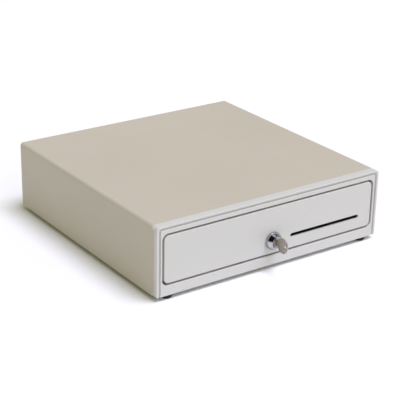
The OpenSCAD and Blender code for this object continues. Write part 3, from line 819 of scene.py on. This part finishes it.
class CASHDRAWER_OT_lock(bpy.types.Operator):
    """Make the lock, its cam and the rod to the latch"""
    bl_idname = "cash_drawer.lock"
    bl_label = "Lock"

    def execute(self, context):
        steps = 14
        crown = [(9.6 + 4.4 * t + 0.55 * math.sin(math.pi * t),
                  -10.2 + 8 * t - 0.3 * math.sin(math.pi * t))
                 for t in (k / steps for k in range(steps + 1))]
        face = [(6.15, 14.5), (6.15, -10.2), (6.5, -10.7), (7.0, -10.75), (7.1, -10.45), (7.5, -10.45),
                (7.6, -10.75), (8.3, -10.98)] + arc((8.6, -10.0), 1.0, -78, -12, 4)
        profile = face + crown + [(14.0, -0.3), (13.7, 0.0), (9.5, 0.0)]
        crest, root, pitch = 9.5, 8.95, 1.15
        for turn in range(12):
            profile += [(crest, 0.6 + turn * pitch), (root, 1.0 + turn * pitch),
                        (crest, 1.4 + turn * pitch)]
        profile += [(crest, 14.2), (9.2, 14.5)]
        turned_head = turned("lock housing", profile, at(0, 0, 40), (0, 1, 0), 96)
        head = link_mesh("finished_lock_housing", turned_head)
        join_body(head, "lock_housing", lock_chrome())
        dressed("lock_plug", plug_nickel(), 0.25, 2)
        for node in ("lock_nut", "lock_cam", "cam_nut"):
            dressed(node, screw_steel(), 0.3, 2)
        dressed("lock_rod", screw_steel(), 0)
        dressed("rod_bush", black_plastic(), 0.2, 2)
        return {"FINISHED"}


class CASHDRAWER_OT_key(bpy.types.Operator):
    """Make the key"""
    bl_idname = "cash_drawer.key"
    bl_label = "Key"

    def execute(self, context):
        bow = (arc((-24.0, 40.0), 12.0, 15, 345, 60)
               + [(-11.2, 36.9), (-9.5, 36.9), (-9.5, 43.1), (-11.2, 43.1)])
        ring_hole = arc((-31.0, 40.0), 2.6, 0, 342, 19)
        rim = [arc((-24.0, 40.0), 11.7, 0, 354, 59), arc((-24.0, 40.0), 9.9, 0, 354, 59)]
        badge = [arc((-22.4, 40.0), 4.4, 0, 350, 35)]
        cuts = [(-6.5, 0.6), (-4.6, 1.3), (-2.4, 0.4), (-0.6, 1.6),
                (1.4, 0.9), (3.4, 1.5), (5.4, 0.5), (7.4, 1.2)]
        upper = [(-9.9, 42.9)] + [q for y, deep in cuts for q in
                                  ((y - 0.9, 42.9), (y - 0.35, 42.9 - deep), (y + 0.35, 42.9 - deep))]
        lower = [q for y, deep in reversed(cuts) for q in
                 ((y + 0.35, 36.5 + 0.6 * deep), (y - 0.35, 36.5 + 0.6 * deep), (y - 0.9, 36.5))]
        blade = upper + [(9.6, 42.9), (11.9, 40.6), (11.9, 38.9), (9.8, 36.5)] + lower + [(-9.9, 36.5)]
        parts = [cut_plate("bow", [bow, ring_hole], 0.98, 0.2, 0), cut_plate("rim", rim, 1.18, 0.2, 0),
                 cut_plate("badge", badge, 1.12, 0.2, 0), cut_plate("blade", [blade], 0.88, 0.12, 0)]
        made = link_mesh("finished_key", merged("key", parts))
        join_body(made, "key", key_nickel())
        return {"FINISHED"}


class CASHDRAWER_OT_feet(bpy.types.Operator):
    """Make the rubber feet and the screws that hold them"""
    bl_idname = "cash_drawer.feet"
    bl_label = "Feet"

    def execute(self, context):
        foot = ([(1.7, -3.0), (1.7, 0.0), (8.3, 0.0), (8.5, -0.3), (8.35, -1.6)]
                + arc((6.85, -5.5), 1.0, 20, -80, 5) + [(4.6, -6.5), (4.2, -6.3), (4.0, -6.0), (4.0, -3.3),
                                                        (3.8, -3.0)])
        spots = [at(x, y, 0) for x in (-182, 182) for y in (10, 383)]
        copies("rubber_feet", turned("foot", foot), spots, rubber())
        seats = [p - Vector((0, 0, 3.5 * MM)) for p in spots]
        copies("foot_screws", screw(3.4, 1.8, 9.5, slotted=True), seats, screw_steel())
        return {"FINISHED"}


class CASHDRAWER_OT_screws(bpy.types.Operator):
    """Make the screws of the rear panel and the drawer front, and the rivets of the latch"""
    bl_idname = "cash_drawer.screws"
    bl_label = "Screws and rivets"

    def execute(self, context):
        level = (math.radians(90), 0.0, 0.0)
        rear = [at(x, 403, z) for x in (-150, 0, 150) for z in (10, 101.3)]
        front = [at(x, 4.4, z) for x in (-150, 150) for z in (30, 72)]
        copies("rear_screws", screw(3.2, 1.5, 6.0), rear, screw_steel(), turn=level)
        copies("front_screws", screw(3.0, 1.5, 1.2), front, screw_steel(), turn=level)
        rivet = turned("rivet", [(0, 2.4), (1.2, 2.35), (2.1, 2.1), (2.7, 1.7), (3.0, 1.2),
                                 (1.6, 1.2), (1.6, 0.0), (0, 0.0)], segments=28)
        copies("bracket_rivets", rivet, [at(x, y, 2.4) for x in (-39.2, 39.2) for y in (353, 386)],
               screw_steel())
        return {"FINISHED"}


class CASHDRAWER_OT_slides(bpy.types.Operator):
    """Make the ball slides"""
    bl_idname = "cash_drawer.slides"
    bl_label = "Ball slides"

    def execute(self, context):
        for node in ("outer_rails", "inner_rails"):
            dressed(node, slide_steel(), 0.3, 2)
        dressed("rail_brackets", zinc_sheet(), 0.3, 2)
        for side in ("left", "right"):
            dressed("ball_cage_" + side, zinc_sheet(), 0.15, 1)
            x = 191 if side == "right" else -191
            spots = [at(x, 181 + 14 * i, 56 + s * 13.9) for i in range(8) for s in (-1, 1)]
            copies("balls_" + side, ball_mesh(2.0), spots, ball_steel())
        return {"FINISHED"}


class CASHDRAWER_OT_pan(bpy.types.Operator):
    """Make the drawer pan, its ledges and the striker"""
    bl_idname = "cash_drawer.pan"
    bl_label = "Drawer pan"

    def execute(self, context):
        for node in ("drawer_pan", "tray_ledges"):
            dressed(node, zinc_sheet(), 0.3, 2)
        dressed("striker", screw_steel(), 0.2, 2)
        return {"FINISHED"}


class CASHDRAWER_OT_tray(bpy.types.Operator):
    """Make the till tray, its dividers and the coin tray"""
    bl_idname = "cash_drawer.tray"
    bl_label = "Till tray"

    def execute(self, context):
        for node in ("till_tray", "note_dividers", "coin_tray"):
            dressed(node, tray_plastic(), 0.5, 3, whole=node != "coin_tray")
        dressed("clip_rod", slide_steel(), 0.3, 2)
        return {"FINISHED"}


class CASHDRAWER_OT_note_clips(bpy.types.Operator):
    """Make the note clips and their springs"""
    bl_idname = "cash_drawer.note_clips"
    bl_label = "Note clips"

    def execute(self, context):
        for node in sorted(n for n in frame["nodes"] if n.startswith("note_clip_")):
            dressed(node, black_plastic(), 0.4, 2)
        self.spring_row()
        return {"FINISHED"}

    def spring_row(self):
        """Torsion springs beside the clips, with a leg under the arm and a leg on the tray floor."""
        rod_y, rod_z, radius, turns, steps, pitch = 318, 82, 3.7, 5, 20, 72.64
        points, edges = [], []
        for i in range(5):
            middle = -180.6 - 1 + (i + 0.5) * pitch + 16
            line = [(middle, rod_y - 13.0, rod_z - 4.6), (middle, rod_y - 8.0, rod_z - 3.9)]
            for k in range(turns * steps + 1):
                turn = 2 * math.pi * k / steps - math.pi / 2
                line.append((middle + 0.5 + 6.9 * k / (turns * steps), rod_y + radius * math.cos(turn),
                             rod_z + radius * math.sin(turn)))
            line += [(middle + 7.9, rod_y + 5.0, rod_z - 6.0), (middle + 7.9, rod_y + 7.5, rod_z - 10.0)]
            edges += [(len(points) + k, len(points) + k + 1) for k in range(len(line) - 1)]
            points += [at(*p) for p in line]
        made = grow("finished_clip_springs", strand_tree, {
            "Wire": 0.5 * MM, "Sides": 8, "Material": spring_wire()}, points, edges)
        join_body(made, "clip_springs", spring_wire())


class CASHDRAWER_OT_latch(bpy.types.Operator):
    """Make the latch, its solenoid, the switch and the opening spring"""
    bl_idname = "cash_drawer.latch"
    bl_label = "Latch"

    def execute(self, context):
        for node in ("latch_bracket", "solenoid_frame"):
            dressed(node, zinc_sheet(), 0.25, 2)
        for node in ("latch_hook", "plunger", "link_pin", "hook_pin"):
            dressed(node, screw_steel(), 0.15, 2)
        dressed("switch_lever", screw_steel(), 0)
        for node in ("pin_spacers", "microswitch", "kick_seat", "kick_cap"):
            dressed(node, black_plastic(), 0.3, 2)
        dressed("coil_bobbin", nylon(), 0.2, 2)
        core = turned("core", [(6.5, 0), (11.0, 0), (11.0, 24.8), (6.5, 24.8)], at(0, 362, 76.6))
        winding = grow("winding", coil_tree, {
            "Radius": 11.3 * MM, "Wire": 0.49 * MM, "Length": 24.0 * MM, "Turns": 24.0, "Steps": 40,
            "Sides": 8, "Place": tuple(at(0, 362, 77)), "Turn": (0.0, 0.0, 0.0), "Material": copper_wire()})
        made = link_mesh("finished_solenoid_coil", merged("solenoid coil", [core, winding.data]))
        bpy.data.objects.remove(winding)
        join_body(made, "solenoid_coil", copper_wire())
        coil("hook_spring", 2.6, 0.4, 54.1, 18, at(7, 368, 2.8), (0.0, 0.0, 0.0), spring_wire(),
             ("hook", at(7, 368, 4), at(7, 368, 56)))
        coil("kick_spring", 7.2, 0.9, 57.0, 9, at(95, 341.9, 50), (math.radians(-90), 0.0, 0.0),
             spring_wire(), ("opening_cap", at(95, 398.5, 50), at(95, 342.5, 50)), steps=40, sides=12)
        return {"FINISHED"}


class CASHDRAWER_OT_wiring(bpy.types.Operator):
    """Make the cable socket, the inner cable and the terminal block"""
    bl_idname = "cash_drawer.wiring"
    bl_label = "Wiring"

    def execute(self, context):
        dressed("cable_socket", black_plastic(), 0.2, 2)
        dressed("terminal_block", nylon(), 0.3, 2)
        route = ((-110, 386, 34), (-110, 378, 32), (-108, 372, 24), (-102, 370, 14), (-92, 370, 8),
                 (-78, 372, 6.4), (-64, 376, 6.4), (-54, 379, 8), (-46, 380, 16), (-41, 379, 28),
                 (-38, 376, 42), (-37, 372, 56), (-37, 369, 70), (-37, 368, 84))
        made = grow("finished_wire_harness", strand_tree, {
            "Wire": 1.9 * MM, "Sides": 16, "Material": rubber()},
            [at(*p) for p in route], [(k, k + 1) for k in range(len(route) - 1)])
        join_body(made, "wire_harness", rubber())
        return {"FINISHED"}


OPERATORS = (
    CASHDRAWER_OT_stage, CASHDRAWER_OT_case, CASHDRAWER_OT_front_frame, CASHDRAWER_OT_drawer_front,
    CASHDRAWER_OT_lock, CASHDRAWER_OT_key, CASHDRAWER_OT_feet, CASHDRAWER_OT_screws, CASHDRAWER_OT_slides,
    CASHDRAWER_OT_pan, CASHDRAWER_OT_tray, CASHDRAWER_OT_note_clips, CASHDRAWER_OT_latch,
    CASHDRAWER_OT_wiring,
)


class VIEW3D_PT_cash_drawer(bpy.types.Panel):
    """Lists the sizes, the colours and a button for each group of pieces"""
    bl_label = "Cash Drawer"
    bl_idname = "VIEW3D_PT_cash_drawer"
    bl_space_type = "VIEW_3D"
    bl_region_type = "UI"
    bl_category = "Cash Drawer"

    def draw(self, context):
        look = context.scene.cash_drawer
        for name in look.bl_rna.properties.keys():
            if name not in ("name", "rna_type"):
                self.layout.prop(look, name)
        for operator in OPERATORS:
            self.layout.operator(operator.bl_idname)


CLASSES = (CashDrawerLook, *OPERATORS, VIEW3D_PT_cash_drawer)


def register():
    for cls in CLASSES:
        bpy.utils.register_class(cls)
    bpy.types.Scene.cash_drawer = PointerProperty(type=CashDrawerLook)


def unregister():
    del bpy.types.Scene.cash_drawer
    for cls in reversed(CLASSES):
        bpy.utils.unregister_class(cls)


def main():
    register()
    for operator in OPERATORS:
        group, name = operator.bl_idname.split(".")
        getattr(getattr(bpy.ops, group), name)()


if __name__ == "__main__":
    main()
